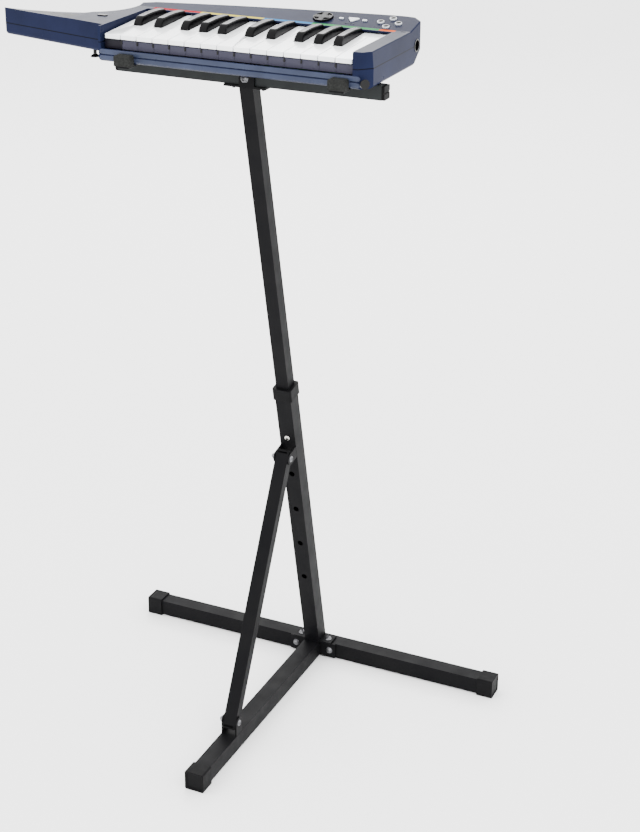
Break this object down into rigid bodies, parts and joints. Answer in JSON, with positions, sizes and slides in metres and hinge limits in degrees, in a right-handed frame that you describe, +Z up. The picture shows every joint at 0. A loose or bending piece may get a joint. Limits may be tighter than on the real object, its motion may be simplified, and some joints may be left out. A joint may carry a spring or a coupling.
{
  "type": "electronic keyboard controller on stand",
  "caption": "Strap-on electronic keyboard controller with a short neck, resting on a height-adjustable single-post floor stand with a braced T-shaped base.",
  "frame": {"origin": "on the floor, under the middle of the rear crossbar", "axes": "+X along the keys towards the high notes, +Y away from the player, +Z up"},
  "size_m": [0.6795, 0.4335, 1.0528],
  "materials": {
    "white_keys": "moulded glossy white plastic",
    "black_keys": "moulded satin black plastic",
    "navy_shell": "fine-textured moulded navy plastic",
    "dark_rail": "moulded dark blue-grey plastic",
    "colour_strip": "printed plastic strip, five plain colour bands",
    "touch_strip": "matt black touch surface",
    "black_plastic": "moulded black plastic",
    "silver_buttons": "pearl silver plastic",
    "circuit_board": "green solder resist on glass laminate",
    "battery": "plain wrapped cells",
    "black_bolts": "black zinc plated steel",
    "powder_coat": "black powder-coated steel tube",
    "cap_plastic": "moulded black polyethylene",
    "rest_rubber": "grained grey-black rubber",
    "snap_steel": "bright plated spring steel"
  },
  "bodies": {
    "base": {"base_crossbar": "powder_coat", "base_end_caps": "cap_plastic", "base_foot": "powder_coat", "post_lower": "powder_coat", "post_collar": "cap_plastic", "brace": "powder_coat", "base_bolts": "black_bolts"},
    "post": {"post_upper": "powder_coat", "support_bar": "powder_coat", "bar_end_caps": "cap_plastic", "rest_arms": "powder_coat", "rest_pads": "rest_rubber", "head_bolts": "black_bolts"},
    "snap_clip": {"snap_clip": "snap_steel"},
    "keyboard": {"upper_shell": "navy_shell", "lower_shell": "navy_shell", "key_frame": "dark_rail", "colour_strip": "colour_strip", "touch_strip": "touch_strip", "circuit_board": "circuit_board", "batteries": "battery", "strap_pegs": "black_plastic", "side_socket": "black_plastic", "case_screws": "black_bolts"},
    "battery_cover": {"battery_cover": "navy_shell"},
    "dpad_pivot": {"dpad_pivot": "black_plastic"},
    "dpad": {"dpad": "black_plastic"},
    "guide_button": {"guide_button": "silver_buttons"},
    "back_button": {"back_button": "silver_buttons"},
    "start_button": {"start_button": "silver_buttons"},
    "neck_button": {"neck_button": "black_plastic"},
    "face_button_left": {"face_button_left": "silver_buttons"},
    "face_button_right": {"face_button_right": "silver_buttons"},
    "face_button_front": {"face_button_front": "silver_buttons"},
    "face_button_back": {"face_button_back": "silver_buttons"},
    "key_01": {"key_01": "white_keys"},
    "key_02": {"key_02": "black_keys"},
    "key_03": {"key_03": "white_keys"},
    "key_04": {"key_04": "black_keys"},
    "key_05": {"key_05": "white_keys"},
    "key_06": {"key_06": "white_keys"},
    "key_07": {"key_07": "black_keys"},
    "key_08": {"key_08": "white_keys"},
    "key_09": {"key_09": "black_keys"},
    "key_10": {"key_10": "white_keys"},
    "key_11": {"key_11": "black_keys"},
    "key_12": {"key_12": "white_keys"},
    "key_13": {"key_13": "white_keys"},
    "key_14": {"key_14": "black_keys"},
    "key_15": {"key_15": "white_keys"},
    "key_16": {"key_16": "black_keys"},
    "key_17": {"key_17": "white_keys"},
    "key_18": {"key_18": "white_keys"},
    "key_19": {"key_19": "black_keys"},
    "key_20": {"key_20": "white_keys"},
    "key_21": {"key_21": "black_keys"},
    "key_22": {"key_22": "white_keys"},
    "key_23": {"key_23": "black_keys"},
    "key_24": {"key_24": "white_keys"},
    "key_25": {"key_25": "white_keys"}
  },
  "joints": [
    {"name": "height_slide", "type": "slide", "parent": "base", "child": "post", "axis": [0, -0.2147, 0.9767], "range_m": [-0.2696, 0], "deforming": ["snap_clip"]},
    {"name": "snap_press", "type": "slide", "parent": "post", "child": "snap_clip", "axis": [0, 0.9767, 0.2147], "range_m": [0, 0.004], "stiffness_N_per_m": 900, "springref_m": -0.004},
    {"name": "keyboard_lift", "type": "slide", "parent": "post", "child": "keyboard", "axis": [0, 0, 1], "range_m": [0, 0.12]},
    {"name": "battery_cover_slide", "type": "slide", "parent": "keyboard", "child": "battery_cover", "axis": [1, 0, 0], "range_m": [0, 0.005]},
    {"name": "dpad_tilt_front_back", "type": "hinge", "parent": "keyboard", "child": "dpad_pivot", "pos_m": [0.0583, -0.11075, 1.04369], "axis": [1, 0, 0], "range_deg": [-5, 5], "stiffness_Nm_per_rad": 0.05},
    {"name": "dpad_tilt_left_right", "type": "hinge", "parent": "dpad_pivot", "child": "dpad", "pos_m": [0.0583, -0.11075, 1.04369], "axis": [0, 0.9755, 0.2198], "range_deg": [-5, 5], "stiffness_Nm_per_rad": 0.05},
    {"name": "guide_button_press", "type": "slide", "parent": "keyboard", "child": "guide_button", "axis": [0, 0.2198, -0.9755], "range_m": [0, 0.0012], "stiffness_N_per_m": 150, "springref_m": -0.004},
    {"name": "back_button_press", "type": "slide", "parent": "keyboard", "child": "back_button", "axis": [0, 0.2198, -0.9755], "range_m": [0, 0.0012], "stiffness_N_per_m": 150, "springref_m": -0.004},
    {"name": "start_button_press", "type": "slide", "parent": "keyboard", "child": "start_button", "axis": [0, 0.2198, -0.9755], "range_m": [0, 0.0012], "stiffness_N_per_m": 150, "springref_m": -0.004},
    {"name": "face_button_left_press", "type": "slide", "parent": "keyboard", "child": "face_button_left", "axis": [0, 0.2198, -0.9755], "range_m": [0, 0.0012], "stiffness_N_per_m": 150, "springref_m": -0.004},
    {"name": "face_button_right_press", "type": "slide", "parent": "keyboard", "child": "face_button_right", "axis": [0, 0.2198, -0.9755], "range_m": [0, 0.0012], "stiffness_N_per_m": 150, "springref_m": -0.004},
    {"name": "face_button_front_press", "type": "slide", "parent": "keyboard", "child": "face_button_front", "axis": [0, 0.2198, -0.9755], "range_m": [0, 0.0012], "stiffness_N_per_m": 150, "springref_m": -0.004},
    {"name": "face_button_back_press", "type": "slide", "parent": "keyboard", "child": "face_button_back", "axis": [0, 0.2198, -0.9755], "range_m": [0, 0.0012], "stiffness_N_per_m": 150, "springref_m": -0.004},
    {"name": "neck_button_press", "type": "slide", "parent": "keyboard", "child": "neck_button", "axis": [0, 0, -1], "range_m": [0, 0.0012], "stiffness_N_per_m": 150, "springref_m": -0.004},
    {"name": "key_01_press", "type": "hinge", "parent": "keyboard", "child": "key_01", "pos_m": [0, -0.12131, 1.03556], "axis": [1, 0, 0], "range_deg": [0, 2.5], "stiffness_Nm_per_rad": 0.5, "springref_deg": -6.88},
    {"name": "key_02_press", "type": "hinge", "parent": "keyboard", "child": "key_02", "pos_m": [0, -0.12131, 1.03556], "axis": [1, 0, 0], "range_deg": [0, 2.5], "stiffness_Nm_per_rad": 0.5, "springref_deg": -6.88},
    {"name": "key_03_press", "type": "hinge", "parent": "keyboard", "child": "key_03", "pos_m": [0, -0.12131, 1.03556], "axis": [1, 0, 0], "range_deg": [0, 2.5], "stiffness_Nm_per_rad": 0.5, "springref_deg": -6.88},
    {"name": "key_04_press", "type": "hinge", "parent": "keyboard", "child": "key_04", "pos_m": [0, -0.12131, 1.03556], "axis": [1, 0, 0], "range_deg": [0, 2.5], "stiffness_Nm_per_rad": 0.5, "springref_deg": -6.88},
    {"name": "key_05_press", "type": "hinge", "parent": "keyboard", "child": "key_05", "pos_m": [0, -0.12131, 1.03556], "axis": [1, 0, 0], "range_deg": [0, 2.5], "stiffness_Nm_per_rad": 0.5, "springref_deg": -6.88},
    {"name": "key_06_press", "type": "hinge", "parent": "keyboard", "child": "key_06", "pos_m": [0, -0.12131, 1.03556], "axis": [1, 0, 0], "range_deg": [0, 2.5], "stiffness_Nm_per_rad": 0.5, "springref_deg": -6.88},
    {"name": "key_07_press", "type": "hinge", "parent": "keyboard", "child": "key_07", "pos_m": [0, -0.12131, 1.03556], "axis": [1, 0, 0], "range_deg": [0, 2.5], "stiffness_Nm_per_rad": 0.5, "springref_deg": -6.88},
    {"name": "key_08_press", "type": "hinge", "parent": "keyboard", "child": "key_08", "pos_m": [0, -0.12131, 1.03556], "axis": [1, 0, 0], "range_deg": [0, 2.5], "stiffness_Nm_per_rad": 0.5, "springref_deg": -6.88},
    {"name": "key_09_press", "type": "hinge", "parent": "keyboard", "child": "key_09", "pos_m": [0, -0.12131, 1.03556], "axis": [1, 0, 0], "range_deg": [0, 2.5], "stiffness_Nm_per_rad": 0.5, "springref_deg": -6.88},
    {"name": "key_10_press", "type": "hinge", "parent": "keyboard", "child": "key_10", "pos_m": [0, -0.12131, 1.03556], "axis": [1, 0, 0], "range_deg": [0, 2.5], "stiffness_Nm_per_rad": 0.5, "springref_deg": -6.88},
    {"name": "key_11_press", "type": "hinge", "parent": "keyboard", "child": "key_11", "pos_m": [0, -0.12131, 1.03556], "axis": [1, 0, 0], "range_deg": [0, 2.5], "stiffness_Nm_per_rad": 0.5, "springref_deg": -6.88},
    {"name": "key_12_press", "type": "hinge", "parent": "keyboard", "child": "key_12", "pos_m": [0, -0.12131, 1.03556], "axis": [1, 0, 0], "range_deg": [0, 2.5], "stiffness_Nm_per_rad": 0.5, "springref_deg": -6.88},
    {"name": "key_13_press", "type": "hinge", "parent": "keyboard", "child": "key_13", "pos_m": [0, -0.12131, 1.03556], "axis": [1, 0, 0], "range_deg": [0, 2.5], "stiffness_Nm_per_rad": 0.5, "springref_deg": -6.88},
    {"name": "key_14_press", "type": "hinge", "parent": "keyboard", "child": "key_14", "pos_m": [0, -0.12131, 1.03556], "axis": [1, 0, 0], "range_deg": [0, 2.5], "stiffness_Nm_per_rad": 0.5, "springref_deg": -6.88},
    {"name": "key_15_press", "type": "hinge", "parent": "keyboard", "child": "key_15", "pos_m": [0, -0.12131, 1.03556], "axis": [1, 0, 0], "range_deg": [0, 2.5], "stiffness_Nm_per_rad": 0.5, "springref_deg": -6.88},
    {"name": "key_16_press", "type": "hinge", "parent": "keyboard", "child": "key_16", "pos_m": [0, -0.12131, 1.03556], "axis": [1, 0, 0], "range_deg": [0, 2.5], "stiffness_Nm_per_rad": 0.5, "springref_deg": -6.88},
    {"name": "key_17_press", "type": "hinge", "parent": "keyboard", "child": "key_17", "pos_m": [0, -0.12131, 1.03556], "axis": [1, 0, 0], "range_deg": [0, 2.5], "stiffness_Nm_per_rad": 0.5, "springref_deg": -6.88},
    {"name": "key_18_press", "type": "hinge", "parent": "keyboard", "child": "key_18", "pos_m": [0, -0.12131, 1.03556], "axis": [1, 0, 0], "range_deg": [0, 2.5], "stiffness_Nm_per_rad": 0.5, "springref_deg": -6.88},
    {"name": "key_19_press", "type": "hinge", "parent": "keyboard", "child": "key_19", "pos_m": [0, -0.12131, 1.03556], "axis": [1, 0, 0], "range_deg": [0, 2.5], "stiffness_Nm_per_rad": 0.5, "springref_deg": -6.88},
    {"name": "key_20_press", "type": "hinge", "parent": "keyboard", "child": "key_20", "pos_m": [0, -0.12131, 1.03556], "axis": [1, 0, 0], "range_deg": [0, 2.5], "stiffness_Nm_per_rad": 0.5, "springref_deg": -6.88},
    {"name": "key_21_press", "type": "hinge", "parent": "keyboard", "child": "key_21", "pos_m": [0, -0.12131, 1.03556], "axis": [1, 0, 0], "range_deg": [0, 2.5], "stiffness_Nm_per_rad": 0.5, "springref_deg": -6.88},
    {"name": "key_22_press", "type": "hinge", "parent": "keyboard", "child": "key_22", "pos_m": [0, -0.12131, 1.03556], "axis": [1, 0, 0], "range_deg": [0, 2.5], "stiffness_Nm_per_rad": 0.5, "springref_deg": -6.88},
    {"name": "key_23_press", "type": "hinge", "parent": "keyboard", "child": "key_23", "pos_m": [0, -0.12131, 1.03556], "axis": [1, 0, 0], "range_deg": [0, 2.5], "stiffness_Nm_per_rad": 0.5, "springref_deg": -6.88},
    {"name": "key_24_press", "type": "hinge", "parent": "keyboard", "child": "key_24", "pos_m": [0, -0.12131, 1.03556], "axis": [1, 0, 0], "range_deg": [0, 2.5], "stiffness_Nm_per_rad": 0.5, "springref_deg": -6.88},
    {"name": "key_25_press", "type": "hinge", "parent": "keyboard", "child": "key_25", "pos_m": [0, -0.12131, 1.03556], "axis": [1, 0, 0], "range_deg": [0, 2.5], "stiffness_Nm_per_rad": 0.5, "springref_deg": -6.88}
  ]
}
